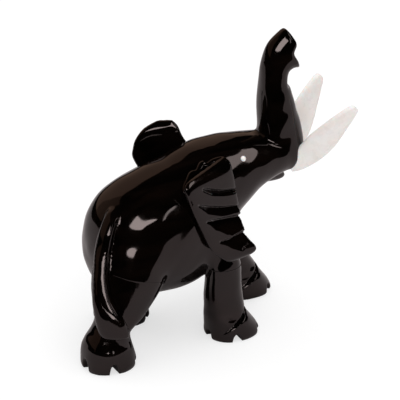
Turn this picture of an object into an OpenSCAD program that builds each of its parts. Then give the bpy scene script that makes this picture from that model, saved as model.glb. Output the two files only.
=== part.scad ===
// Carved wooden elephant with its trunk raised. One carved block holds the
// barrel, neck, head, trunk, lower lip and tail. The legs, ears, tusks and
// eyes are separate pieces glued into sockets cut in that block.
// Millimetres. The elephant faces -Y, its left side is +X, its feet are on z = 0.

/* [Body] */
// Length of the barrel, from rump to chest
barrel_l = 130; // [126:1:136]
// Width of the barrel at its widest
barrel_w = 80; // [74:1:86]
// Depth of the barrel, from back to belly
barrel_d = 109; // [104:1:114]
// Height of the middle of the barrel above the ground
barrel_z = 95.5; // [93:0.5:98]

/* [Head] */
// Length of the neck and head, from the withers to the face
head_l = 116; // [112:1:120]
// Width of the head at the cheeks
head_w = 56; // [50:1:60]
// Depth of the neck where it leaves the barrel
neck_d = 72; // [66:1:76]

/* [Trunk] */
// Height of the raised trunk's top above the ground
trunk_top = 245; // [241:1:249]
// Thickness of the trunk at its root, front to back
trunk_root = 40; // [36:1:42]
// Thickness of the trunk at its narrowest
trunk_waist = 23; // [21:1:25]

/* [Legs] */
// Distance of each leg's middle from the centre plane
stance = 28.5; // [27:0.5:30]
// How much further out the hind legs stand
hind_out = 3; // [1:0.5:5]
// Radius of the feet
foot_r = 22; // [20:0.5:23]
// Height of the band of toes
toe_h = 18; // [16:0.5:20]
// Radius of the round tenon on top of each leg
tenon_r = 7; // [5:0.5:8]
// Length of the tenons
tenon_l = 15; // [10:1:18]

/* [Ears] */
// Thickness of the ear plates
ear_t = 7; // [5.5:0.5:8]
// Depth of the cuts across the ears
ear_cut = 2.2; // [1:0.2:2.8]

/* [Tusks and eyes] */
// Width of the tusks at their widest
tusk_w = 26; // [23:0.5:28]
// Thickness of the tusks
tusk_t = 7.5; // [6:0.5:9]
// Radius of the peg at the root of each tusk
peg_r = 3; // [2.4:0.1:3.2]
// Diameter of the eye pegs
eye_d = 4.6; // [4:0.1:5.2]

/* [Hidden] */

ebony = [0.09, 0.07, 0.06];
ivory = [0.93, 0.90, 0.88];
glue = 0.15;          // room left for glue between two pieces
right = -1;           // side of the elephant, as the sign of x
left = 1;

box_middle = -5.7;    // fore coordinate of the middle of the whole elephant's length
rump = -108;          // fore coordinate of the barrel's rear end; fore is -y
withers = -43;        // where the neck starts inside the barrel
section = 2.3;        // squareness of the carved sections, 2 is an ellipse
barrel_n = 32;        // points round each section
trunk_n = 22;
leg_n = 24;
tail_n = 10;

// Barrel: [part of the length, rise of the middle, part of the width, part of the depth]
BARREL = [
  [0.000, -8, 0.03, 0.03], [0.016, -8, 0.18, 0.16], [0.058, -7.5, 0.31, 0.28],
  [0.142, -6.5, 0.42, 0.38], [0.258, -5, 0.48, 0.44], [0.43, -2, 0.50, 0.48],
  [0.59, 0, 0.49, 0.50], [0.735, 2.5, 0.45, 0.47], [0.84, 5, 0.38, 0.385],
  [0.915, 6, 0.29, 0.29], [0.972, 6, 0.17, 0.18], [1.000, 6, 0.03, 0.03]
];

// Neck and head: [part of the length, height, part of the width, part of the depth, pitch]
HEAD = [
  [0.00, 111, 0.36, 0.33, 20], [0.17, 117, 0.52, 0.48, 20], [0.34, 124, 0.52, 0.50, 18],
  [0.51, 129, 0.46, 0.445, 14], [0.66, 134, 0.40, 0.33, 6], [0.80, 135.5, 0.35, 0.25, 0],
  [0.91, 134.5, 0.29, 0.20, -4], [0.98, 132, 0.20, 0.13, -4], [1.00, 131, 0.08, 0.06, -4]
];

// Trunk: [fore, part of the height from root to top, width, depth, pitch]; the
// depth is a share between the waist (0) and the root (1) thickness
TRUNK = [
  [60, 0.00, 28, 0.60, 70], [62.5, 0.08, 33, 0.95, 84], [62.2, 0.24, 30, 0.80, 93],
  [59.4, 0.41, 28, 0.50, 96], [57.4, 0.55, 25.5, 0.25, 93], [57, 0.68, 22.5, 0.00, 88],
  [59, 0.74, 21.5, 0.15, 68], [66, 0.798, 21, 0.62, 44], [77, 0.835, 20, 1.06, 22],
  [86, 0.86, 19, 1.15, 18]
];
trunk_foot = 125;     // height of the trunk's root inside the head

// Lower lip: [fore, height, half width, half depth, pitch]
LIP = [
  [40, 122, 9.5, 9.5, -15], [56, 116.5, 7, 6, -15], [65, 113.5, 3.6, 3, -15],
  [68, 112.5, 0.8, 0.8, -15]
];

// Side profile that trims the trunk's end: upper finger, nostril notch and lower finger
FINGERS = [
  [64, 247], [68, trunk_top - 1], [74.5, 232], [71, 226], [79, 209],
  [66, 204.5], [66, 195], [100, 195], [100, 262], [64, 262]
];

// Foot: [part of the toe band's height, part of foot_r]
FOOT = [[0, 0.97], [0.17, 1], [0.85, 0.98], [1.08, 0.86]];

// Legs above the foot: [height, step towards the toes, half length, half width];
// the sizes are parts of foot_r
FRONT_LEG = [
  [25, 1, 0.72, 0.72], [37, 0, 0.68, 0.67], [51, 0, 0.645, 0.63], [63, 0, 0.62, 0.61],
  [72, 0, 0.58, 0.54], [80, 0, 0.52, 0.44], [88, 0, 0.40, 0.30], [93, 0, 0.20, 0.15]
];
HIND_LEG = [
  [28, 1.6, 0.66, 0.64], [41, 11.5, 0.94, 0.74], [57, 17, 1.22, 0.80],
  [70, 19.5, 1.38, 0.80], [84, 21, 1.34, 0.68], [98, 22, 1.06, 0.46], [107, 22, 0.60, 0.24]
];
front_toes = 7.3;     // how far the front feet reach out ahead of their legs
foot_narrow = 0.92;   // width of a foot as a part of its length
front_foot = -2.4;    // fore coordinate of the right front leg's middle
hind_foot = -106;     // fore coordinate of the right hind foot's middle
front_step = 40;      // how far the left front foot is ahead of the right one
hind_step = 43;       // how far the left hind foot is ahead of the right one
front_seam = [63, 0]; // height and forward slope of the seam over the front legs
hind_seam = [75, -19];

// Tail: [side, fore, height, half width, half length, turn]
TAIL = [
  [-9, -84, 129, 3.5, 4, 10], [-12, -93.5, 126, 5, 4.5, 15], [-16.5, -102, 114, 5.6, 5, 20],
  [-18.5, -107.5, 101, 5.8, 5, 25], [-23.5, -113.5, 88, 6, 5, 32], [-30, -117.5, 76, 6.5, 5.2, 40],
  [-37, -118, 62, 9, 5.5, 48], [-42.5, -115.5, 49, 12, 6, 56], [-46, -112.5, 36, 12.5, 5.5, 62],
  [-46.5, -111.5, 30.5, 10.5, 4, 63]
];

// Ear: the plate's front and rear edge points, each [side, fore, height], and thickness
EAR_RIGHT = [
  [[18, 1, 155.5], [40, -40, 151.5], 0.5], [[18, 3.5, 152.5], [43, -44, 147], 1],
  [[21, 8, 142], [43.5, -41, 137], 1], [[24.5, 8, 130.5], [43.5, -37, 124.5], 1],
  [[30, 9, 114], [43.5, -30, 107.5], 0.95], [[36, 13.5, 92], [44, -20.5, 87], 0.9],
  [[40, 21, 78], [44, -9.5, 75.5], 0.7], [[40, 17.5, 73], [42.5, -3.5, 71.5], 0.35]
];
EAR_LEFT = [
  [[40, -12, 162], [45, -25, 159.5], 0.5], [[37, -8, 157.5], [47, -34, 151.5], 1],
  [[29, -4, 147.5], [46, -42, 142.5], 1], [[23, 5, 134.5], [45, -45.5, 134.5], 1],
  [[25, 7, 124.5], [44, -40, 121.5], 1], [[30, 9, 111.5], [44, -31, 105.5], 0.95],
  [[36, 13.5, 92], [44, -20.5, 87], 0.9], [[40, 21, 78], [44, -9.5, 75.5], 0.7],
  [[40, 17.5, 73], [42.5, -3.5, 71.5], 0.35]
];
ear_n = 28;

// Tusk: middle line, [side, fore, height, part of the width, part of the thickness]
TUSK = [
  [10.5, 66, 125.5, 0.45, 0.8], [12, 74, 129.5, 0.72, 1], [15.5, 83.5, 137.5, 0.95, 1],
  [19.5, 91, 147, 1, 1], [24.5, 101, 160, 0.76, 0.9], [28.5, 110, 171, 0.48, 0.75],
  [30.2, 113.6, 175.5, 0.32, 0.6], [30.6, 114.6, 176.6, 0.12, 0.25]
];
tusk_root = [10.5, 66, 125.5];
peg_l = 14;           // length of the tusk pegs
eye_at = [21, 19, 149];  // middle of the eye's face
eye_tilt = 35;        // how far the eyes look up

// ---------------------------------------------------------------- curves and skins

// Value between a and b
function mix(a, b, t) = a + (b - a) * t;

// Smooth curve through four rows, t from 0 at b to 1 at c
function through(a, b, c, d, t) =
  0.5 * (2 * b + (c - a) * t + (2 * a - 5 * b + 4 * c - d) * t * t + (3 * b - a - 3 * c + d) * t * t * t);

// The rows with n - 1 more between each pair
function smooth(rows, n) = [
  for (i = [0 : len(rows) - 2], k = [0 : n - 1])
    through(rows[max(i - 1, 0)], rows[i], rows[i + 1], rows[min(i + 2, len(rows) - 1)], k / n),
  rows[len(rows) - 1]
];

// A side-by-depth outline of n points, rounder as the squareness nears 2
function power(v, p) = sign(v) * pow(abs(v), p);
function outline(n, half_w, half_d, square = section) = [
  for (i = [0 : n - 1])
    let (a = 360 * i / n)
    [half_w * power(cos(a), 2 / square), half_d * power(sin(a), 2 / square)]
];

// The point at [side, fore, height] as x, y, z
function place(p) = [p[0], box_middle - p[1], p[2]];

// An outline stood across a line that climbs at the pitch in the centre plane
function upright(fore, z, half_w, half_d, pitch, n) = [
  for (p = outline(n, half_w, half_d))
    place([-p[0], fore - p[1] * sin(pitch), z + p[1] * cos(pitch)])
];

// An outline laid level at a point, turned about the vertical
function level(at, half_w, half_l, turn, n) = [
  for (p = outline(n, half_w, half_l))
    place([at[0] + p[0] * cos(turn) + p[1] * sin(turn), at[1] - p[0] * sin(turn) + p[1] * cos(turn), at[2]])
];

// A closed solid through rings that all have the same number of points
module skin(rings) {
  n = len(rings[0]);
  last = (len(rings) - 1) * n;
  walls = [
    for (r = [0 : len(rings) - 2], i = [0 : n - 1])
      let (a = r * n + i, b = r * n + (i + 1) % n)
      each [[a, b, b + n], [a, b + n, a + n]]
  ];
  polyhedron(
    points = [for (ring = rings) each ring],
    faces = concat([[for (i = [n - 1 : -1 : 0]) i]], walls, [[for (i = [0 : n - 1]) last + i]])
  );
}

// The same skin for rings whose order runs the other way round
module skin_reversed(rings) {
  skin([for (ring = rings) [for (i = [len(ring) - 1 : -1 : 0]) ring[i]]]);
}

// Joins what it holds into one skin and keeps its size
module one_skin() {
  resize([0, 0, 0]) children();
}

// ---------------------------------------------------------------- body

module barrel() {
  skin([
    for (s = smooth(BARREL, 3))
      upright(rump + s[0] * barrel_l, barrel_z + s[1], max(s[2], 0.02) * barrel_w,
              max(s[3], 0.02) * barrel_d, 0, barrel_n)
  ]);
}

module head() {
  skin([
    for (s = smooth(HEAD, 3))
      upright(withers + s[0] * head_l, s[1], max(s[2], 0.02) * head_w * 1.08,
              max(s[3], 0.02) * neck_d, s[4], barrel_n)
  ]);
}

module trunk() {
  rise = trunk_top - trunk_foot;
  difference() {
    skin([
      for (s = smooth(TRUNK, 3))
        upright(s[0], trunk_foot + s[1] * rise, s[2] / 2,
                mix(trunk_waist, trunk_root, s[3]) / 2, s[4], trunk_n)
    ]);
    translate(place([0, 0, 0]))
      rotate([90, 0, -90]) linear_extrude(80, center = true) polygon(FINGERS);
  }
}

module lip() {
  skin([for (s = smooth(LIP, 2)) upright(s[0], s[1], s[2], s[3], s[4], trunk_n)]);
}

module tail() {
  skin_reversed([
    for (s = smooth(TAIL, 3))
      level([s[0], s[1], s[2]], s[3], s[4], s[5], tail_n)
  ]);
}

module body() {
  color(ebony)
    one_skin() {
      difference() {
        union() {
          barrel();
          head();
          trunk();
          lip();
          tail();
          leg_stubs();
        }
        leg_pockets();
        ear_plate(right, EAR_RIGHT, glue);
        ear_plate(left, EAR_LEFT, glue);
        tusk_blade(right, glue);
        tusk_blade(left, glue);
        for (leg = LEGS) tenon(leg, glue);
        for (side = [left, right]) {
          tusk_peg(side, glue);
          eye_peg(side, glue);
        }
      }
    }
}

// ---------------------------------------------------------------- legs

// The rows of a whole leg, with its foot set forward by a step
function with_foot(rows, step) = concat(
  [for (f = FOOT) [f[0] * toe_h, step, f[1], f[1] * foot_narrow]],
  rows
);

// Each leg: [x, fore coordinate, rows, seam, how far it leans back as it climbs, toes ahead]
LEGS = [
  [-stance, front_foot, with_foot(FRONT_LEG, front_toes), front_seam, 0, front_toes],
  [stance, front_foot + front_step, with_foot(FRONT_LEG, front_toes), front_seam,
   front_step - 6, front_toes],
  [-stance - hind_out, hind_foot, with_foot(HIND_LEG, 0), hind_seam, 0, 0],
  [stance + hind_out, hind_foot + hind_step, with_foot(HIND_LEG, 0), hind_seam, hind_step - 8, 0]
];

// The whole leg's skin, grown by a little all round; a stepping leg leans back as it climbs
module leg_skin(leg, grow = 0) {
  rows = smooth(leg[2], 2);
  top = rows[len(rows) - 1][0];
  skin([
    for (s = rows)
      level([leg[0], leg[1] + s[1] - leg[4] * lean(s[0] / top), s[0]],
            s[3] * foot_r + grow, s[2] * foot_r + grow, 0, leg_n)
  ]);
}

// How far back a stepping leg has leaned at a part of its height
function lean(t) = t < 0.25 ? 0 : (t - 0.25) / 0.75;

// Fore coordinate of a leg's middle at a height
function leg_mid(leg, z) =
  let (rows = leg[2], top = rows[len(rows) - 1][0])
  leg[1] + lookup(z, [for (s = rows) [s[0], s[1]]]) - leg[4] * lean(z / top);

// Everything below the seam, which slopes forward at the seam's angle through the leg's middle
module below_seam(leg, gap = 0) {
  reach = 90;
  seam = leg[3];
  translate(place([leg[0], leg_mid(leg, seam[0]), seam[0] - gap]))
    rotate([-seam[1], 0, 0])
      translate([-reach / 2, -reach, -2 * reach]) cube([reach, 2 * reach, 2 * reach]);
}

// The legs' tops, from a little below the seam; the pockets trim them at the seam
module leg_stubs() {
  reach = 200;
  for (leg = LEGS) {
    intersection() {
      leg_skin(leg);
      translate([-reach / 2, -reach, leg[3][0] - 15]) cube([reach, 2 * reach, reach]);
    }
  }
}

module leg_pockets() {
  for (leg = LEGS) {
    intersection() {
      leg_skin(leg, glue);
      below_seam(leg);
    }
  }
}

// The tenon starts a little below the seam
module tenon(leg, gap = 0) {
  sunk = 3;
  seam_z = leg[3][0];
  translate(place([leg[0], leg_mid(leg, seam_z), seam_z - sunk]))
    cylinder(h = tenon_l + sunk + gap, r = tenon_r + gap, $fn = 40);
}

// Arched notches between the toes; the angles run from straight behind to the outer side
module toe_notches(leg) {
  for (turn = [-5, 80, 145, 215]) {
    translate(place([leg[0], leg[1] + leg[5], 2.2]))
      rotate([0, 0, -sign(leg[0]) * turn])
        translate([0, foot_r * 0.8, 0]) rotate([-90, 0, 0]) cylinder(h = 10, r1 = 2.6, r2 = 6.4, $fn = 16);
  }
}

module leg(leg) {
  color(ebony)
    union() {
      one_skin() {
        difference() {
          intersection() {
            leg_skin(leg);
            below_seam(leg, glue);
          }
          toe_notches(leg);
        }
      }
      tenon(leg);
    }
}

module leg_front_right() {
  leg(LEGS[0]);
}

module leg_front_left() {
  leg(LEGS[1]);
}

module leg_hind_right() {
  leg(LEGS[2]);
}

module leg_hind_left() {
  leg(LEGS[3]);
}

// ---------------------------------------------------------------- ears

// One section of an ear between its front and rear edge points
function ear_ring(side, front, rear, thick) =
  let (
    middle = (front + rear) / 2,
    half = norm(rear - front) / 2,
    along = (rear - front) / norm(rear - front),
    out = cross(along, [0, 0, 1]) / norm(cross(along, [0, 0, 1]))
  )
  [
    for (p = outline(ear_n, half, thick / 2, 3))
      let (q = middle + along * p[0] + out * p[1])
      place([side * q[0], q[1], q[2]])
  ];

function ear_rows(rows) = [
  for (k = [0 : 2 * (len(rows) - 1)])
    let (i = floor(k / 2), j = min(i + 1, len(rows) - 1), t = (k % 2) / 2)
    let (a = rows[max(i - 1, 0)], b = rows[i], c = rows[j], d = rows[min(j + 1, len(rows) - 1)])
    [through(a[0], b[0], c[0], d[0], t), through(a[1], b[1], c[1], d[1], t), mix(b[2], c[2], t)]
];

module ear_plate(side, rows, grow = 0) {
  rings = [for (s = ear_rows(rows)) ear_ring(side, s[0], s[1], s[2] * ear_t + 2 * grow)];
  if (side == right)
    skin_reversed(rings);
  else
    skin(rings);
}

// A point on the outer face of the ear, at a row and a part of the way from front to rear
function ear_face(rows, row, t) =
  let (
    i = floor(row),
    front = mix(rows[i][0], rows[i + 1][0], row - i),
    rear = mix(rows[i][1], rows[i + 1][1], row - i),
    out = cross(rear - front, [0, 0, 1]) / norm(cross(rear - front, [0, 0, 1]))
  )
  mix(front, rear, t) - out * ear_t / 2;

// V cuts across the outer face: each runs from a row and part at the rear to one at the front
EAR_CUTS = [
  [2.0, 0.62, 3.4, 0.08], [2.9, 0.78, 4.1, 0.14], [3.7, 0.74, 4.8, 0.16], [5.3, 0.76, 5.2, 0.04]
];
module ear_cuts(side, rows) {
  for (cut = EAR_CUTS) {
    hull() {
      for (end = [[cut[0], cut[1]], [cut[2], cut[3]]]) {
        q = ear_face(rows, end[0] + len(rows) - 8, end[1]);
        translate(place([side * q[0], q[1], q[2]])) sphere(r = ear_cut, $fn = 8);
      }
    }
  }
}

module ear(side, rows) {
  color(ebony)
    one_skin() {
      difference() {
        ear_plate(side, rows);
        ear_cuts(side, rows);
      }
    }
}

module ear_right() {
  ear(right, EAR_RIGHT);
}

module ear_left() {
  ear(left, EAR_LEFT);
}

// ---------------------------------------------------------------- tusks and eyes

// A flattened section across the tusk's middle line
function tusk_ring(side, rows, i, grow) =
  let (
    before = rows[max(i - 1, 0)],
    after = rows[min(i + 1, len(rows) - 1)],
    ahead = [after[0] - before[0], after[1] - before[1], after[2] - before[2]],
    along = ahead / norm(ahead),
    across = cross(along, [1, 0, 0]) / norm(cross(along, [1, 0, 0])),
    out = cross(across, along),
    s = rows[i]
  )
  [
    for (p = outline(18, tusk_w / 2 * s[3] + grow, tusk_t / 2 * s[4] + grow))
      let (q = [s[0], s[1], s[2]] + across * p[0] + out * p[1])
      place([side * q[0], q[1], q[2]])
  ];

module tusk_blade(side, grow = 0) {
  rows = smooth(TUSK, 2);
  rings = [for (i = [0 : len(rows) - 1]) tusk_ring(side, rows, i, grow)];
  if (side == right)
    skin(rings);
  else
    skin_reversed(rings);
}

// The peg runs back and down into the head
module tusk_peg(side, gap = 0) {
  translate(place([side * tusk_root[0], tusk_root[1], tusk_root[2]]))
    rotate([-70, 0, 0])
      translate([0, 0, -1]) cylinder(h = peg_l + 1 + gap, r = peg_r + gap, $fn = 32);
}

module tusk(side) {
  color(ivory)
    union() {
      tusk_blade(side);
      tusk_peg(side);
    }
}

module tusk_right() {
  tusk(right);
}

module tusk_left() {
  tusk(left);
}

// The peg goes into the side of the head, square to its surface
module eye_peg(side, gap = 0) {
  depth = 6;
  translate(place([side * eye_at[0], eye_at[1], eye_at[2]]))
    rotate([0, side * (90 - eye_tilt), 0])
      translate([0, 0, -depth]) cylinder(h = depth + gap * 10, r = eye_d / 2 + gap, $fn = 32);
}

module eye(side) {
  color(ivory)
    eye_peg(side);
}

module eye_right() {
  eye(right);
}

module eye_left() {
  eye(left);
}

body();
leg_front_right();
leg_front_left();
leg_hind_right();
leg_hind_left();
ear_right();
ear_left();
tusk_right();
tusk_left();
eye_right();
eye_left();
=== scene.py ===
"""Looks of the carved ebony elephant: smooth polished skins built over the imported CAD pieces.

Every piece is laid out in the design's own coordinates, [side, fore, height] in millimetres, where
side is to the elephant's left, fore is towards its face, and height is above the ground. place()
turns them into the metres of the shared frame.
"""

import math

import bmesh
import bpy
import numpy as np
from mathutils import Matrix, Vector


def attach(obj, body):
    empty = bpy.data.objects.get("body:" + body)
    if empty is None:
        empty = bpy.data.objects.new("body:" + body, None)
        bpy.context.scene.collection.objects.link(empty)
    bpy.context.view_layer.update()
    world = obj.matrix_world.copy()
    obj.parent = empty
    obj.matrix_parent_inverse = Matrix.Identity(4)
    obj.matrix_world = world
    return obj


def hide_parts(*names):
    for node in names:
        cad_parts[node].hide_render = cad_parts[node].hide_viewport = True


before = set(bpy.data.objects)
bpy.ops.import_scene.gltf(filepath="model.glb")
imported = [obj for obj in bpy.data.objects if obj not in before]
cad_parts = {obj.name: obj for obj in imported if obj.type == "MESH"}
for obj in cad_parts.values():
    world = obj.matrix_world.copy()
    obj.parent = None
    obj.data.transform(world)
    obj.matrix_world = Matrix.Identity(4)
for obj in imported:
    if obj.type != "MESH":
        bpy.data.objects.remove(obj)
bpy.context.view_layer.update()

MM = 0.001
MIDDLE = -5.7  # fore coordinate of the middle of the elephant's length
RIGHT, LEFT = -1, 1

# ---------------------------------------------------------------- sections of the carved shapes

# Barrel: [fore, middle height, half width, half depth]
BARREL = [
    [-108, 87.5, 1.6, 2.2], [-105.9, 87.5, 14.4, 17.4], [-100.5, 88, 24.8, 30.5],
    [-89.5, 89, 33.6, 41.4], [-74.5, 90.5, 38.4, 48], [-52.1, 93.5, 40, 52.3],
    [-31.3, 95.5, 39.2, 54.5], [-12.5, 98, 36, 51.2], [1.2, 100.5, 30.4, 42],
    [11, 101.5, 23.2, 31.6], [18.4, 101.5, 13.6, 19.6], [22, 101.5, 1.6, 2.2],
]

# Neck and head: [fore, middle height, half width, half depth, pitch]
HEAD = [
    [-43, 111, 21.8, 23.8, 20], [-23.3, 117, 31.4, 34.6, 20], [-3.6, 124, 31.4, 36, 18],
    [16.2, 129, 27.8, 32, 14], [33.6, 134, 24.2, 23.8, 6], [49.8, 135.5, 21.2, 18, 0],
    [62.6, 134.5, 17.5, 14.4, -4], [70.7, 132, 12.1, 9.4, -4], [73, 131, 4.8, 4.3, -4],
]

# Trunk: [fore, middle height, half width, half depth, pitch]
TRUNK = [
    [60, 125, 14, 16.6, 70], [62.5, 134.6, 16.5, 19.6, 84], [62.2, 153.8, 15, 18.3, 93],
    [59.4, 174.2, 14, 15.8, 96], [57.4, 191, 12.8, 13.6, 93], [57, 206.6, 11.2, 11.5, 88],
    [59, 213.8, 10.8, 12.8, 68], [65.6, 221, 10.5, 18, 44], [77, 221.5, 10.6, 26, 22],
    [86, 223.5, 10.4, 29, 18],
]

# Side profile that trims the trunk's end, [fore, height]: upper finger, nostril notch, lower finger
FINGERS = [
    [60, 252], [67, 245.5], [71, 240], [74.5, 233], [74, 230.5], [71, 226], [71.6, 223],
    [75.4, 217], [78.6, 208.6], [72, 206], [66, 204], [65.5, 195], [104, 195], [104, 266], [60, 266],
]

# Lower lip: [fore, middle height, half width, half depth, pitch]
LIP = [
    [40, 122, 9.5, 9.5, -15], [56, 116.5, 7, 6, -15], [65, 113.5, 3.6, 3, -15], [68, 112.5, 0.8, 0.8, -15],
]

# Tail: [side, fore, height, half width, half length, turn about the vertical]
TAIL = [
    [-10, -83, 129, 3.5, 4, 10], [-14.5, -92.5, 125.5, 5.4, 4.6, 15], [-19.5, -101, 114, 6.3, 5, 20],
    [-22, -106, 101, 6.8, 5, 25], [-27, -110.5, 88, 6.4, 5, 32], [-32.5, -113.5, 76, 6.8, 5.2, 40],
    [-38.5, -114.5, 62, 8.8, 5.5, 48], [-43.5, -111.5, 49, 12, 6, 56], [-46, -108.5, 36, 12.5, 5.5, 62],
    [-46.5, -107.5, 30.5, 10.5, 4, 63],
]

# Legs: [height, step towards the toes, half length, half width], with the middle and lean of each
FOOT_R = 22
FRONT_LEG = [
    [0, 7.3, 0.95, 0.88], [2.5, 7.3, 0.985, 0.91], [7, 6.4, 0.935, 0.895], [12, 4.6, 0.865, 0.865],
    [16.5, 2.9, 0.80, 0.835], [20, 1.7, 0.75, 0.79], [26, 0.8, 0.70, 0.735], [37, 0, 0.68, 0.685],
    [51, 0, 0.645, 0.635], [63, 0, 0.62, 0.61], [72, 0, 0.60, 0.59], [80, 0, 0.55, 0.54],
    [88, 0, 0.44, 0.42], [93, 0, 0.22, 0.20],
]
HIND_LEG = [
    [0, 0, 0.95, 0.88], [3, 0, 1, 0.92], [8, -0.5, 0.985, 0.91], [13, -1.1, 0.95, 0.89],
    [18, -1.5, 0.90, 0.85], [21, -1.4, 0.86, 0.80], [25, -0.8, 0.80, 0.745], [31, 2.0, 0.74, 0.685],
    [41, 10.5, 0.92, 0.64], [57, 17, 1.22, 0.615], [70, 20.5, 1.33, 0.595], [84, 22, 1.25, 0.50],
    [98, 24, 1.0, 0.32], [107, 25, 0.7, 0.14],
]
# name: [side, fore, rows, lean back, seam height, seam slope, how far the toes reach ahead]
LEGS = {
    "leg_front_right": [-28.5, -2.4, FRONT_LEG, 0, 63, 0, 7.3],
    "leg_front_left": [28.5, 37.6, FRONT_LEG, 34, 63, 0, 7.3],
    "leg_hind_right": [-31.5, -106, HIND_LEG, 0, 75, -19, 0],
    "leg_hind_left": [31.5, -63, HIND_LEG, 35, 75, -19, 0],
}

# Ears: front edge point, rear edge point, part of the full thickness
EAR_T = 7
EAR_RIGHT = [
    [[21.5, 2, 155.5], [40.5, -40, 151.5], 0.5], [[24.8, 5, 152], [43, -44, 147], 1],
    [[27.8, 7, 140], [43.5, -41, 136.5], 1], [[29.2, 8, 130], [43.8, -37, 124.5], 1],
    [[32.3, 9.6, 113], [43.8, -30, 107.5], 0.95], [[36.8, 13.5, 92], [44, -20.5, 87], 0.9],
    [[40, 21, 78], [44, -9.5, 75.5], 0.7], [[40, 17.5, 73], [42.5, -3.5, 71.5], 0.35],
]
EAR_LEFT = [
    [[36, -15, 164.5], [43.5, -25, 163], 0.5], [[33, -11.5, 160], [45, -36, 157.5], 1],
    [[30, -9, 152], [45.5, -43, 149.5], 1], [[27.5, -5, 145], [45.5, -45.5, 141.5], 1],
    [[24, 4, 134.5], [45, -46, 134.5], 1], [[26, 7, 124.5], [44, -40, 121.5], 1],
    [[30, 9, 111.5], [44, -31, 105.5], 0.95], [[36, 13.5, 92], [44, -20.5, 87], 0.9],
    [[40, 21, 78], [44, -9.5, 75.5], 0.7], [[40, 17.5, 73], [42.5, -3.5, 71.5], 0.35],
]

# Knife cuts across the right ear: [side, fore, height, width, depth], from the rear end of each to the
# front edge. The points were read off the ear's face, where the photograph shows the cuts.
EAR_CUTS = [
    [[-40.1, -27.2, 143.6, 0.5, 0.3], [-37.8, -17.1, 138.5, 3.2, 2.2], [-35.7, -7.1, 134.1, 3.4, 2.6],
     [-32.1, 4.5, 130.7, 3.2, 2.4], [-29.5, 12, 128.5, 3.2, 2.4]],
    [[-43.7, -32.6, 131.5, 0.5, 0.3], [-41.7, -21.8, 125.8, 5.5, 2.8], [-38.7, -8.7, 120.5, 6.5, 3.3],
     [-35.2, 3.8, 117, 4.5, 3], [-32.5, 13, 114.5, 4.5, 3]],
    [[-43.9, -25.6, 114.7, 0.5, 0.3], [-41.9, -15.6, 112.1, 8, 3], [-39.3, -4.5, 109.4, 12, 3.8],
     [-36.7, 5.7, 107.3, 13, 3.2], [-34, 15, 106, 13, 2.6]],
    [[-44.1, -14.1, 93.7, 0.5, 0.3], [-42.1, -2.4, 92.1, 6, 2.6], [-39.6, 7.8, 92.8, 11, 3.4],
     [-37.8, 12.3, 92.6, 11, 2.4], [-35, 22, 92.6, 10, 1.6]],
]

# Bead of filler along the top of the right ear's root: [side, fore, height, radius]
FILLER = [
    [-31, -38.5, 137, 1.2], [-27.5, -36, 140, 2.2], [-25.5, -32, 143.5, 2.6], [-22.5, -27, 147, 3.2],
    [-23, -22.5, 148.5, 2.4], [-19.5, -16.5, 151.8, 3.3], [-21.5, -13.5, 151.3, 2.3], [-21, -7, 153.3, 2.4],
    [-20.5, 1, 153.5, 1.8], [-22, 5, 151, 1],
]

# Knife cut in the tail's tuft: [side, fore, height, width, depth]
TAIL_CUT = [
    [-42.5, -118, 63, 0.6, 0.2], [-46, -114.5, 57.5, 3.4, 0.9], [-50, -109.5, 51.5, 3.6, 1],
    [-52.5, -105.5, 46.5, 1.6, 0.4],
]
TAIL_CUT_OUT = [-0.82, -0.45, 0.3]

# Tusk's middle line: [side, fore, height, part of the width, part of the thickness]
TUSK_W, TUSK_T = 26, 7.5
TUSK = [
    [10.5, 66, 125.5, 0.45, 0.8], [12, 74, 129.5, 0.72, 1], [15.5, 83.5, 137.5, 0.95, 1],
    [19.5, 91, 147, 1, 1], [24.5, 101, 160, 0.76, 0.9], [28.5, 110, 171, 0.48, 0.75],
    [30.2, 113.6, 175.5, 0.32, 0.6], [30.6, 114.6, 176.6, 0.12, 0.25],
]

EYE_AT = [21, 19, 149]
EYE_R = 2.3
# Eye: [height out of the wood, part of the radius]
EYE_DOME = [[-6, 1], [-0.1, 1], [0.4, 0.97], [0.85, 0.82], [1.15, 0.56], [1.3, 0.28], [1.35, 0.04]]

LEAN_FROM = 0.25  # part of a leg's height below which it stands upright
THIGH_IN = 14  # how far the back of a thigh curves in, from THIGH_LOW over THIGH_RISE
THIGH_LOW, THIGH_RISE = 32, 48
STUB = 8  # how far below its seam a leg's top is joined to the body before the pocket is cut
POCKET_GAP = 0.6
EAR_CUT_OUT = [-0.94, 0.28, 0.16]

# Toe notches: directions from straight behind, and [reach, half width, part of the height] outwards
NOTCH_TURNS = (5, 78, 150, 222)
NOTCH = [[7, 1.6, 0.35], [21, 4.2, 0.95], [31, 7.4, 1.7]]
NOTCH_FRONT, NOTCH_HIND = 7.8, 10.8

# One side of a front foot's groove, from the heel and relative to the leg's middle:
# [side, fore, height, width, depth]
GROOVE = [
    [12.8, -10.6, 6, 0.5, 0.4], [16.4, -6.6, 9.2, 1.8, 1.6], [18.3, -1.8, 13, 2.8, 2.8],
    [18.2, 4.4, 17, 3.6, 4], [15.6, 10.8, 21, 4.6, 5.5], [10, 15, 24, 5, 6],
]
GROOVE_FRONT = [0, 17, 25.5, 5, 6]

# Waves of the hand's unevenness, in radians per millimetre of [side, fore, height]
WAVES = [(0.21, 0.13, -0.17), (-0.12, 0.24, 0.19), (0.33, -0.10, 0.28), (0.08, 0.36, -0.30)]


# ---------------------------------------------------------------- curves and skins


def place(points):
    """[side, fore, height] in millimetres to x, y, z in metres."""
    p = np.atleast_2d(np.array(points, float))
    return np.column_stack([p[:, 0], MIDDLE - p[:, 1], p[:, 2]]) * MM


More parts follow.
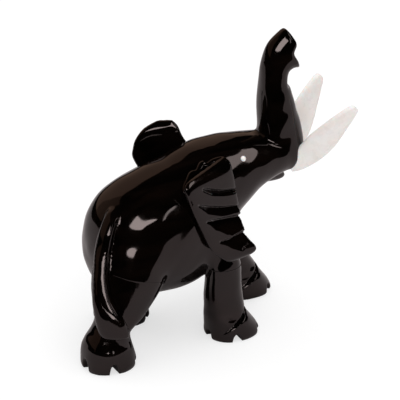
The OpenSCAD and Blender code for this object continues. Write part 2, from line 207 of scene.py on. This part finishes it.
def spline(rows, n):
    """The rows with n - 1 more between each pair, on a smooth curve through them all."""
    r = np.array(rows, float)
    out = []
    for i in range(len(r) - 1):
        a, b, c, d = r[max(i - 1, 0)], r[i], r[i + 1], r[min(i + 2, len(r) - 1)]
        for k in range(n):
            t = k / n
            bend = (2 * a - 5 * b + 4 * c - d) * t**2 + (3 * b - a - 3 * c + d) * t**3
            out.append(0.5 * (2 * b + (c - a) * t + bend))
    return np.array([*out, r[-1]])


def outline(n, half_w, half_d, square=2.3):
    """A closed outline between an ellipse (2) and a rectangle (large)."""
    a = np.arange(n) * 2 * math.pi / n
    bend = lambda v: np.sign(v) * np.abs(v) ** (2 / square)
    return np.column_stack([half_w * bend(np.cos(a)), half_d * bend(np.sin(a))])


def upright(fore, z, half_w, half_d, pitch, n):
    """An outline stood across a line that climbs at the pitch in the centre plane."""
    p, a = outline(n, half_w, half_d), math.radians(pitch)
    return np.column_stack([p[:, 0], fore - p[:, 1] * math.sin(a), z + p[:, 1] * math.cos(a)])


def level(side, fore, z, half_w, half_l, turn, n):
    """An outline laid level, turned about the vertical."""
    p, a = outline(n, half_w, half_l), math.radians(turn)
    x = side + p[:, 0] * math.cos(a) + p[:, 1] * math.sin(a)
    y = fore - p[:, 0] * math.sin(a) + p[:, 1] * math.cos(a)
    return np.column_stack([x, y, np.full(n, z)])


def skin(name, rings):
    """A closed mesh object through rings of equal length, with fans over its two ends."""
    n = len(rings[0])
    verts = np.vstack([place(r) for r in rings])
    ends = [verts[:n].mean(0), verts[-n:].mean(0)]
    verts = np.vstack([verts, ends])
    faces = []
    for r in range(len(rings) - 1):
        for i in range(n):
            j = (i + 1) % n
            faces.append((r * n + i, r * n + j, (r + 1) * n + j, (r + 1) * n + i))
    last = (len(rings) - 1) * n
    for i in range(n):
        j = (i + 1) % n
        faces.append((j, i, len(verts) - 2))
        faces.append((last + i, last + j, len(verts) - 1))
    return mesh_object(name, verts, faces)


def mesh_object(name, verts, faces):
    mesh = bpy.data.meshes.new(name)
    mesh.from_pydata([tuple(v) for v in verts], [], faces)
    work = bmesh.new()
    work.from_mesh(mesh)
    bmesh.ops.recalc_face_normals(work, faces=work.faces)
    work.to_mesh(mesh)
    work.free()
    ob = bpy.data.objects.new(name, mesh)
    bpy.context.scene.collection.objects.link(ob)
    return ob


def prism(name, profile, half_width):
    """A [fore, height] profile pushed out to both sides of the centre plane."""
    n = len(profile)
    rings = [[[s * half_width, f, z] for f, z in profile] for s in (-1, 1)]
    verts = np.vstack([place(r) for r in rings])
    faces = [tuple(range(n)), tuple(range(2 * n - 1, n - 1, -1))]
    faces += [(i, (i + 1) % n, n + (i + 1) % n, n + i) for i in range(n)]
    return mesh_object(name, verts, faces)


def knife(name, rows, outs, upper=0.15, lift=2.0):
    """A knife cut's shape along a line: a V that opens outwards.

    Each row is [side, fore, height, width, depth]; outs are the outward directions at the rows; upper
    is the part of the width above the line, and the rest of the V slopes away below it.
    """
    r = np.array(rows, float)
    p, width, depth = r[:, :3], r[:, 3], r[:, 4]
    outs = np.broadcast_to(np.array(outs, float), p.shape)
    along = np.gradient(p, axis=0)
    rings = []
    for i in range(len(p)):
        line = along[i] / np.linalg.norm(along[i])
        out = outs[i] - line * outs[i].dot(line)
        out /= np.linalg.norm(out)
        up = np.cross(line, out)
        up *= 1 if up[2] > 0 else -1
        open_by = width[i] * (1 + lift / depth[i])
        top = p[i] + out * lift
        rings.append([p[i] - out * depth[i], top + up * open_by * upper, top - up * open_by * (1 - upper)])
    verts = np.vstack([place(q) for q in rings])
    n = len(rings)
    faces = [(0, 1, 2), (3 * n - 3, 3 * n - 1, 3 * n - 2)]
    for k in range(n - 1):
        for i in range(3):
            j = (i + 1) % 3
            faces.append((3 * k + i, 3 * k + j, 3 * k + 3 + j))
            faces.append((3 * k + i, 3 * k + 3 + j, 3 * k + 3 + i))
    return mesh_object(name, verts, faces)


# ---------------------------------------------------------------- carving


def apply_modifiers(ob):
    dg = bpy.context.evaluated_depsgraph_get()
    mesh = bpy.data.meshes.new_from_object(ob.evaluated_get(dg))
    old = ob.data
    ob.modifiers.clear()
    ob.data = mesh
    bpy.data.meshes.remove(old)


def cut(ob, *tools):
    """Takes the tools' shapes away from ob, exactly, and removes the tools."""
    for tool in tools:
        m = ob.modifiers.new("cut", "BOOLEAN")
        m.operation = "DIFFERENCE"
        m.solver = "EXACT"
        m.object = tool
    apply_modifiers(ob)
    for tool in tools:
        bpy.data.objects.remove(tool)


def one_skin(name, obs, voxel):
    """Joins overlapping closed meshes into one even skin of quads."""
    work = bmesh.new()
    for ob in obs:
        work.from_mesh(ob.data)
        bpy.data.objects.remove(ob)
    mesh = bpy.data.meshes.new(name)
    work.to_mesh(mesh)
    work.free()
    joined = bpy.data.objects.new(name, mesh)
    bpy.context.scene.collection.objects.link(joined)
    m = joined.modifiers.new("skin", "REMESH")
    m.mode = "VOXEL"
    m.voxel_size = voxel * MM
    apply_modifiers(joined)
    return joined


def points_of(ob):
    co = np.empty(len(ob.data.vertices) * 3, np.float32)
    ob.data.vertices.foreach_get("co", co)
    return co.reshape(-1, 3).astype(float)


def set_points(ob, co):
    ob.data.vertices.foreach_set("co", np.ascontiguousarray(co, np.float32).ravel())
    ob.data.update()


def design(co):
    """Metres of the frame back to [side, fore, height] in millimetres."""
    return np.column_stack([co[:, 0] / MM, MIDDLE - co[:, 1] / MM, co[:, 2] / MM])


def relax(ob, rounds, weight=1.0):
    """Rubs the surface smooth: each point moves towards the mean of its neighbours."""
    co = points_of(ob)
    n = len(co)
    edges = np.empty(len(ob.data.edges) * 2, np.int32)
    ob.data.edges.foreach_get("vertices", edges)
    a, b = edges[::2], edges[1::2]
    count = np.bincount(a, minlength=n) + np.bincount(b, minlength=n)
    share = (0.6 * np.broadcast_to(weight, (n,)))[:, None]
    for _ in range(rounds):
        mean = np.column_stack(
            [np.bincount(a, co[b, k], n) + np.bincount(b, co[a, k], n) for k in range(3)]
        )
        co += share * (mean / count[:, None] - co)
    set_points(ob, co)


def shade(ob, angle=38):
    ob.data.polygons.foreach_set("use_smooth", np.ones(len(ob.data.polygons), bool))
    ob.data.set_sharp_from_angle(angle=math.radians(angle))
    ob.data.update()


def stand_for(ob, node, material):
    """Finishes a piece: in its node's stead, with its material."""
    ob.data.materials.clear()
    ob.data.materials.append(material)
    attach(ob, "root")
    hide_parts(node)


# ---------------------------------------------------------------- materials


def node_material(name):
    m = bpy.data.materials.new(name)
    m.use_nodes = True
    return m, m.node_tree.nodes, m.node_tree.links, m.node_tree.nodes["Principled BSDF"]


def ramp(nodes, stops):
    r = nodes.new("ShaderNodeValToRGB")
    while len(r.color_ramp.elements) > 2:
        r.color_ramp.elements.remove(r.color_ramp.elements[0])
    for i, (at, colour) in enumerate(stops):
        e = r.color_ramp.elements[i] if i < 2 else r.color_ramp.elements.new(at)
        e.position = at
        e.color = (*colour, 1)
    return r


def grey(v):
    return (v, v, v)


def ebony():
    """Black heartwood with faint brown streaks along the grain, polished to a mirror."""
    m, nodes, links, p = node_material("polished_ebony")
    where = nodes.new("ShaderNodeTexCoord")
    grain = nodes.new("ShaderNodeMapping")
    grain.inputs["Rotation"].default_value = (0.12, 0.06, 0.0)
    grain.inputs["Scale"].default_value = (95, 9, 70)
    streak = nodes.new("ShaderNodeTexNoise")
    streak.inputs["Scale"].default_value = 1.0
    streak.inputs["Detail"].default_value = 6.0
    streak.inputs["Distortion"].default_value = 0.6
    tone = ramp(nodes, [(0.40, (0.0006, 0.0004, 0.0003)), (0.75, (0.0036, 0.0018, 0.0012))])
    links.new(where.outputs["Object"], grain.inputs["Vector"])
    links.new(grain.outputs["Vector"], streak.inputs["Vector"])
    links.new(streak.outputs["Fac"], tone.inputs["Fac"])
    links.new(tone.outputs["Color"], p.inputs["Base Color"])
    rub = nodes.new("ShaderNodeTexNoise")
    rub.inputs["Scale"].default_value = 60.0
    rub.inputs["Detail"].default_value = 3.0
    gloss = ramp(nodes, [(0.35, grey(0.045)), (0.75, grey(0.10))])
    links.new(where.outputs["Object"], rub.inputs["Vector"])
    links.new(rub.outputs["Fac"], gloss.inputs["Fac"])
    links.new(gloss.outputs["Color"], p.inputs["Roughness"])
    pores = nodes.new("ShaderNodeBump")
    pores.inputs["Strength"].default_value = 0.05
    pores.inputs["Distance"].default_value = 0.0002
    links.new(streak.outputs["Fac"], pores.inputs["Height"])
    links.new(pores.outputs["Normal"], p.inputs["Normal"])
    p.inputs["IOR"].default_value = 1.47
    p.inputs["Specular Tint"].default_value = (1.0, 0.86, 0.85, 1)
    return m


def bone():
    """White bone, a little see-through, with pink clouds and a soft polish."""
    m, nodes, links, p = node_material("polished_bone")
    where = nodes.new("ShaderNodeTexCoord")
    cloud = nodes.new("ShaderNodeTexNoise")
    cloud.inputs["Scale"].default_value = 38.0
    cloud.inputs["Detail"].default_value = 4.0
    tint = ramp(nodes, [(0.3, (0.90, 0.84, 0.80)), (0.55, (0.93, 0.90, 0.87)), (0.8, (0.86, 0.75, 0.71))])
    links.new(where.outputs["Object"], cloud.inputs["Vector"])
    links.new(cloud.outputs["Fac"], tint.inputs["Fac"])
    links.new(tint.outputs["Color"], p.inputs["Base Color"])
    rub = nodes.new("ShaderNodeTexNoise")
    rub.inputs["Scale"].default_value = 150.0
    gloss = ramp(nodes, [(0.3, grey(0.22)), (0.8, grey(0.38))])
    links.new(where.outputs["Object"], rub.inputs["Vector"])
    links.new(rub.outputs["Fac"], gloss.inputs["Fac"])
    links.new(gloss.outputs["Color"], p.inputs["Roughness"])
    p.inputs["Subsurface Weight"].default_value = 0.35
    p.inputs["Subsurface Radius"].default_value = (1.0, 0.55, 0.45)
    p.inputs["Subsurface Scale"].default_value = 0.004
    p.inputs["Coat Weight"].default_value = 0.3
    p.inputs["Coat Roughness"].default_value = 0.08
    return m


# ---------------------------------------------------------------- body


def leg_rings(name, grown=0.0, n=72):
    """The leg's outlines from the ground up; the back of a thigh curves in towards the tail."""
    side, fore, rows, lean = LEGS[name][:4]
    s = spline(rows, 5)
    top = s[-1][0]
    rings = []
    for z, step, half_l, half_w in s:
        back = lean * max(0.0, (z / top - LEAN_FROM) / (1 - LEAN_FROM))
        half = half_l * FOOT_R + grown
        ring = level(side, fore + step - back, z, half_w * FOOT_R + grown, half, 0, n)
        if rows is HIND_LEG:
            behind = np.clip((fore + step - back - ring[:, 1]) / half, 0, 1)
            risen = np.clip((z - THIGH_LOW) / THIGH_RISE, 0, 1)
            ring[:, 0] -= np.sign(side) * THIGH_IN * risen * behind**2
        rings.append(ring)
    return rings


def seam(name):
    """Where the glue seam crosses the leg's middle line, and the seam plane's upward direction."""
    side, fore, rows, lean, height, slope = LEGS[name][:6]
    step = np.interp(height, [r[0] for r in rows], [r[1] for r in rows])
    back = lean * max(0.0, (height / rows[-1][0] - LEAN_FROM) / (1 - LEAN_FROM))
    a = math.radians(slope)
    return np.array([side, fore + step - back, height]), np.array([0, -math.sin(a), math.cos(a)])


def split_at_seam(ob, name, above, shift=0.0):
    """Keeps what is above, or below, the seam that runs through the leg, and closes the cut."""
    at, up = seam(name)
    at = place([at + up * shift])[0]
    up = Vector((up[0], -up[1], up[2])) * (1 if above else -1)
    work = bmesh.new()
    work.from_mesh(ob.data)
    geom = [*work.verts, *work.edges, *work.faces]
    bmesh.ops.bisect_plane(work, geom=geom, plane_co=at, plane_no=up, clear_inner=True)
    rim = [e for e in work.edges if e.is_boundary]
    bmesh.ops.holes_fill(work, edges=rim)
    bmesh.ops.triangulate(work, faces=[f for f in work.faces if len(f.verts) > 4])
    bmesh.ops.recalc_face_normals(work, faces=work.faces)
    work.to_mesh(ob.data)
    work.free()


def trunk():
    ob = skin("trunk", [upright(*r, 64) for r in spline(TRUNK, 8)])
    cut(ob, prism("fingers", FINGERS, 30))
    return ob


def body(voxel):
    parts = [
        skin("barrel", [upright(f, z, w, d, 0, 96) for f, z, w, d in spline(BARREL, 8)]),
        skin("head", [upright(*r, 96) for r in spline(HEAD, 8)]),
        trunk(),
        skin("lip", [upright(*r, 40) for r in spline(LIP, 6)]),
    ]
    for name in LEGS:
        stub = skin("stub", leg_rings(name))
        split_at_seam(stub, name, above=True, shift=-STUB)
        parts.append(stub)
    ob = one_skin("elephant_body", parts, voxel)
    relax(ob, 6)
    soften_neck(ob)
    for name in LEGS:
        soften_hip(ob, name)
    tail = skin("tail", [level(*r, 40) for r in spline(TAIL, 8)])
    ob = one_skin("elephant_body", [ob, tail], voxel)
    relax(ob, 10)
    work_by_hand(ob)
    tuft = knife("tail_cut", TAIL_CUT, TAIL_CUT_OUT, upper=0.12)
    cut(ob, *(leg_pocket(name) for name in LEGS), tuft)
    shade(ob)
    return ob


def soften_neck(ob):
    """The neck flows into the barrel, so that stretch is rubbed down more than the rest."""
    _, fore, z = design(points_of(ob)).T
    near = np.exp(-(((fore + 14) / 26) ** 4)) * (z > 92)
    relax(ob, 60, near)


def soften_hip(ob, name):
    """The top of each leg runs into the flank without an edge, from just above its seam."""
    at, up = seam(name)
    p = design(points_of(ob)) - at
    above = np.clip((p @ up - 0.5) / 9, 0, 1)
    near = np.exp(-((p[:, 0] / 24) ** 4) - ((p[:, 1] / 44) ** 4) - ((p[:, 2] - 12) / 36) ** 4)
    relax(ob, 160, above * above * (3 - 2 * above) * near)


def leg_pocket(name):
    """The room a leg takes below its seam, with a hair's breadth round it."""
    tool = skin("pocket", leg_rings(name, grown=POCKET_GAP))
    split_at_seam(tool, name, above=False)
    return tool


def work_by_hand(ob, height=0.10):
    """Faint unevenness left by the knife and the polishing cloth, over lengths of about 10 to 30 mm."""
    co = points_of(ob)
    p = design(co)
    wave = np.zeros(len(p))
    for k, (a, b, c) in enumerate(WAVES):
        wave += np.sin(p[:, 0] * a + p[:, 1] * b + p[:, 2] * c + 1.7 * k) / (1 + 0.4 * k)
    normals = np.empty(len(co) * 3, np.float32)
    ob.data.vertices.foreach_get("normal", normals)
    set_points(ob, co + normals.reshape(-1, 3) * wave[:, None] * height * MM)


# ---------------------------------------------------------------- legs


def leg(name, voxel):
    ob = skin("whole_leg", leg_rings(name))
    cut(ob, *toe_notches(name), *toe_groove(name))
    ob = one_skin(name + "_carved", [ob], voxel)
    relax(ob, 2)
    work_by_hand(ob, 0.07)
    split_at_seam(ob, name, above=False)
    raise_rim(ob, name)
    shade(ob)
    return ob


def raise_rim(ob, name, height=0.22):
    """Glue squeezed out and polished over leaves the rim of the seam a hair proud."""
    at, up = seam(name)
    co = points_of(ob)
    p = design(co)
    rim = np.abs((p - at) @ up) < 0.25
    away = (p - at) * [1, 1, 0]
    away /= np.linalg.norm(away, axis=1)[:, None] + 1e-9
    p[rim] += away[rim] * height
    set_points(ob, place(p))


def toe_notches(name):
    """Tall arched notches between the toes, from straight behind round the outer side."""
    side, fore, ahead = LEGS[name][0], LEGS[name][1], LEGS[name][6]
    out = -1 if side < 0 else 1
    tall = NOTCH_FRONT if ahead else NOTCH_HIND
    t = np.arange(24) * 2 * math.pi / 24
    tools = []
    for turn in NOTCH_TURNS:
        a = math.radians(turn)
        away = np.array([out * math.sin(a), -math.cos(a), 0])
        across = np.array([away[1], -away[0], 0])
        rings = []
        for reach, wide, high in NOTCH:
            c = np.array([side, fore + ahead, 0]) + away * reach
            rise = np.array([0, 0, tall * high])
            rings.append([c + across * wide * math.cos(k) + rise * math.sin(k) for k in t])
        tools.append(skin("notch", rings))
    return tools


def toe_groove(name):
    """On a front foot, the V between the toes and the leg, which climbs from the heel to the front."""
    if not LEGS[name][6]:
        return []
    side, fore = LEGS[name][:2]
    rows = [[-s, *rest] for s, *rest in GROOVE] + [GROOVE_FRONT] + GROOVE[::-1]
    outs = [[s, f - 1, 3] for s, f, *_ in rows]
    rows = [[side + s, fore + f, *rest] for s, f, *rest in rows]
    return [knife("groove", rows, outs, upper=0.35)]


# ---------------------------------------------------------------- ears


def ear_frame(rows, n):
    """Front points, rear points and thickness down the ear, with more rows between."""
    flat = [[*front, *rear, thick] for front, rear, thick in rows]
    s = spline(flat, n)
    return s[:, :3], s[:, 3:6], s[:, 6]


def ear_plate(name, sign, rows, dish):
    """The leaf-shaped plate; its inner face is hollowed by the dish's depth."""
    rings = []
    sections = list(zip(*ear_frame(rows, 8), strict=True))
    for i, (front, rear, thick) in enumerate(sections):
        along = (rear - front) / np.linalg.norm(rear - front)
        out = np.cross(along, [0, 0, 1])
        out *= np.sign(out[0]) / np.linalg.norm(out)
        half = np.linalg.norm(rear - front) / 2
        p = outline(96, half, thick * EAR_T / 2, 3)
        down = math.sin(math.pi * i / (len(sections) - 1)) ** 0.5
        p[:, 1] += dish * down * np.clip(1 - (p[:, 0] / half) ** 2, 0, 1) * (p[:, 1] < 0)
        q = (front + rear) / 2 + p[:, :1] * along + p[:, 1:] * out
        q[:, 0] *= sign
        rings.append(q)
    return skin(name, rings)


def bead(name, rows):
    """A rough rope of filler, thicker and thinner as it was pressed in."""
    s = spline(rows, 5)
    t = np.arange(16) * 2 * math.pi / 16
    rings = []
    for i, (*at, r) in enumerate(s):
        line = s[min(i + 1, len(s) - 1)][:3] - s[max(i - 1, 0)][:3]
        u = np.cross(line, [0, 0, 1])
        u /= np.linalg.norm(u)
        v = np.cross(line, u) / np.linalg.norm(line)
        rings.append([np.array(at) + (u * math.cos(k) + v * math.sin(k)) * r for k in t])
    return skin(name, rings)


def right_ear(voxel):
    """Cut four times from behind towards the front edge, so that its folds overlap like feathers."""
    ob = ear_plate("ear_right_carved", RIGHT, EAR_RIGHT, 0)
    cut(ob, *(knife("ear_cut", rows, EAR_CUT_OUT) for rows in EAR_CUTS))
    ob = one_skin("ear_right_carved", [ob, bead("filler", FILLER)], voxel)
    relax(ob, 2)
    shade(ob)
    return ob


def left_ear(voxel):
    """Plain outside and hollowed inside, where the photograph shows it."""
    ob = one_skin("ear_left_carved", [ear_plate("ear_left_carved", LEFT, EAR_LEFT, 2.6)], voxel)
    relax(ob, 3)
    shade(ob)
    return ob


# ---------------------------------------------------------------- tusks and eyes


def tusk(name, sign):
    rows = spline(TUSK, 8)
    rings = []
    for i, row in enumerate(rows):
        ahead = rows[min(i + 1, len(rows) - 1)][:3] - rows[max(i - 1, 0)][:3]
        along = ahead / np.linalg.norm(ahead)
        across = np.cross(along, [1, 0, 0])
        across /= np.linalg.norm(across)
        out = np.cross(across, along)
        p = outline(48, TUSK_W / 2 * row[3], TUSK_T / 2 * row[4])
        q = row[:3] + p[:, :1] * across + p[:, 1:] * out
        q[:, 0] *= sign
        rings.append(q)
    ob = skin(name, rings)
    shade(ob)
    return ob


def eye(name, sign, wood):
    """A peg let into the face, standing a little proud of the wood and rounded by polishing."""
    start = Vector(place([[sign * EYE_AT[0], EYE_AT[1], EYE_AT[2]]])[0])
    _, at, normal, _ = wood.closest_point_on_mesh(start)
    at, out = design(np.array([at]))[0], np.array([normal[0], -normal[1], normal[2]])
    u = np.cross(out, [0, 0, 1])
    u /= np.linalg.norm(u)
    v = np.cross(out, u)
    t = np.arange(32) * 2 * math.pi / 32
    rings = []
    for proud, r in EYE_DOME:
        rings.append([at + out * proud + (u * math.cos(k) + v * math.sin(k)) * EYE_R * r for k in t])
    ob = skin(name, rings)
    shade(ob)
    return ob


# ---------------------------------------------------------------- stage


def quad(name, corners, material):
    ob = mesh_object(name, corners, [(0, 1, 2, 3)])
    ob.data.materials.append(material)
    return ob


def plain(name, colour, roughness=0.9, shine=0.0):
    m, _, _, p = node_material(name)
    p.inputs["Emission Color"].default_value = (1, 1, 1, 1)
    p.inputs["Emission Strength"].default_value = shine
    p.inputs["Base Color"].default_value = (*colour, 1)
    p.inputs["Roughness"].default_value = roughness
    p.inputs["Specular IOR Level"].default_value = 0.2
    return m


def glow(name, colour, strength):
    m = bpy.data.materials.new(name)
    m.use_nodes = True
    nodes, links = m.node_tree.nodes, m.node_tree.links
    nodes.clear()
    e = nodes.new("ShaderNodeEmission")
    e.inputs["Color"].default_value = (*colour, 1)
    e.inputs["Strength"].default_value = strength
    out = nodes.new("ShaderNodeOutputMaterial")
    links.new(e.outputs["Emission"], out.inputs["Surface"])
    return m


def only_in_gloss(ob):
    """A studio card that shows only as a reflection in the polish."""
    ob.visible_camera = False
    ob.visible_diffuse = False
    ob.visible_transmission = False
    ob.visible_shadow = False


CAMERA_AZ, CAMERA_EL, CAMERA_FAR = 243, 29, 10  # degrees, degrees, metres
CAMERA_WIDE = 0.320  # metres across the picture at the elephant
CAMERA_AIM = (0.045, -0.0201, 0.0802)

AWAY = Vector((0.891, -0.454, 0))  # level, from the camera past the elephant
ASIDE = Vector((-0.454, -0.891, 0))  # level, to the camera's right

FLOOR = 6  # half the side of the floor
GLOSS_FLOOR = ((-0.235, -1.5), (-0.235, 1.1), (4, 1.1), (4, -1.5))  # corners, away and aside
WARM = (0.50, 0.335, 0.25)


def toward(azimuth, elevation):
    """A direction from the elephant: azimuth from straight away to the camera's right, in degrees."""
    a, e = math.radians(azimuth), math.radians(elevation)
    level_part = AWAY * math.cos(a) * math.cos(e) + ASIDE * math.sin(a) * math.cos(e)
    return level_part + Vector((0, 0, math.sin(e)))


def panel(name, corners, colour, strength, radius=3.0, n=12):
    """A softbox seen only in the polish: part of a sphere round the elephant.

    The corners are (azimuth, elevation), in order round the panel.
    """
    c = np.array(corners, float)
    verts = []
    for v in np.linspace(0, 1, n + 1):
        for u in np.linspace(0, 1, n + 1):
            a, e = (c[0] * (1 - u) + c[1] * u) * (1 - v) + (c[3] * (1 - u) + c[2] * u) * v
            verts.append(toward(a, e) * radius + Vector((0, 0, 0.1)))
    faces = [
        (r * (n + 1) + i, r * (n + 1) + i + 1, (r + 1) * (n + 1) + i + 1, (r + 1) * (n + 1) + i)
        for r in range(n) for i in range(n)
    ]
    ob = mesh_object(name, verts, faces)
    ob.data.materials.append(glow(name, colour, strength))
    only_in_gloss(ob)


def soft_light(name, at, power, size):
    """A wide light towards the elephant that leaves no mark in the polish."""
    light = bpy.data.lights.new(name, "AREA")
    light.shape = "RECTANGLE"
    light.size, light.size_y = size, size
    light.energy = power
    ob = bpy.data.objects.new(name, light)
    bpy.context.scene.collection.objects.link(ob)
    ob.location = at
    ob.rotation_mode = "QUATERNION"
    ob.rotation_quaternion = Vector(at).to_track_quat("Z", "Y")
    ob.visible_glossy = False
    ob.visible_camera = False


def floors():
    """The pale sweep the camera sees, and the part of it that lies in the polish's view."""
    square = [(-FLOOR, -FLOOR, 0), (FLOOR, -FLOOR, 0), (FLOOR, FLOOR, 0), (-FLOOR, FLOOR, 0)]
    ob = quad("floor", square, plain("floor_white", grey(0.38), shine=0.64))
    ob.visible_glossy = False
    just_above = Vector((0, 0, 0.0003))
    corners = [AWAY * d + ASIDE * a + just_above for d, a in GLOSS_FLOOR]
    only_in_gloss(quad("floor_in_gloss", corners, plain("floor_pale", (0.62, 0.57, 0.57))))


def studio():
    floors()
    panel("warm_wall", [(-58, 7), (14, 7), (6, 50), (-50, 52)], WARM, 0.85)
    panel("dim_wall", [(-128, 7), (-58, 7), (-50, 52), (-128, 55)], WARM, 0.4)
    panel("window", [(194.9, 24), (159, 11.1), (151.6, 17.5), (176.5, 41.4)], (1.0, 0.96, 0.94), 7.5)
    panel("strip", [(143, 8), (139.5, 8), (138.5, 25), (141.5, 25)], (1.0, 0.98, 0.96), 4.0)
    panel("side_window", [(121, 12), (108, 30), (74, 55), (114, 48)], (1.0, 0.95, 0.92), 3.5)
    soft_light("overhead", (0, 0, 2.4), 120, 4.5)
    soft_light("front_light", tuple(toward(170, 35) * 3), 20, 2.5)
    world = bpy.data.worlds.new("studio")
    bpy.context.scene.world = world
    world.use_nodes = True
    back = world.node_tree.nodes["Background"]
    back.inputs["Color"].default_value = (1, 1, 1, 1)
    back.inputs["Strength"].default_value = 0.003
    bpy.context.scene.view_settings.view_transform = "Standard"


def camera():
    """A long lens from behind the elephant's right side, looking down on it."""
    az, el = math.radians(CAMERA_AZ), math.radians(CAMERA_EL)
    back = Vector((math.sin(az) * math.cos(el), -math.cos(az) * math.cos(el), math.sin(el)))
    data = bpy.data.cameras.new("camera")
    data.sensor_width = 36
    data.lens = data.sensor_width * CAMERA_FAR / CAMERA_WIDE
    data.clip_start, data.clip_end = 0.5, 40
    ob = bpy.data.objects.new("camera", data)
    bpy.context.scene.collection.objects.link(ob)
    ob.location = Vector(CAMERA_AIM) + back * CAMERA_FAR
    ob.rotation_mode = "QUATERNION"
    ob.rotation_quaternion = back.to_track_quat("Z", "Y")
    bpy.context.scene.camera = ob


# ---------------------------------------------------------------- the elephant


def build():
    wood, white = ebony(), bone()
    fine = 0.6
    carving = body(1.0)
    stand_for(carving, "body", wood)
    for name in LEGS:
        stand_for(leg(name, fine), name, wood)
    stand_for(right_ear(fine), "ear_right", wood)
    stand_for(left_ear(fine), "ear_left", wood)
    for side, sign in (("right", RIGHT), ("left", LEFT)):
        stand_for(tusk("tusk_" + side + "_blade", sign), "tusk_" + side, white)
        stand_for(eye("eye_" + side + "_peg", sign, carving), "eye_" + side, white)


camera()
studio()
build()
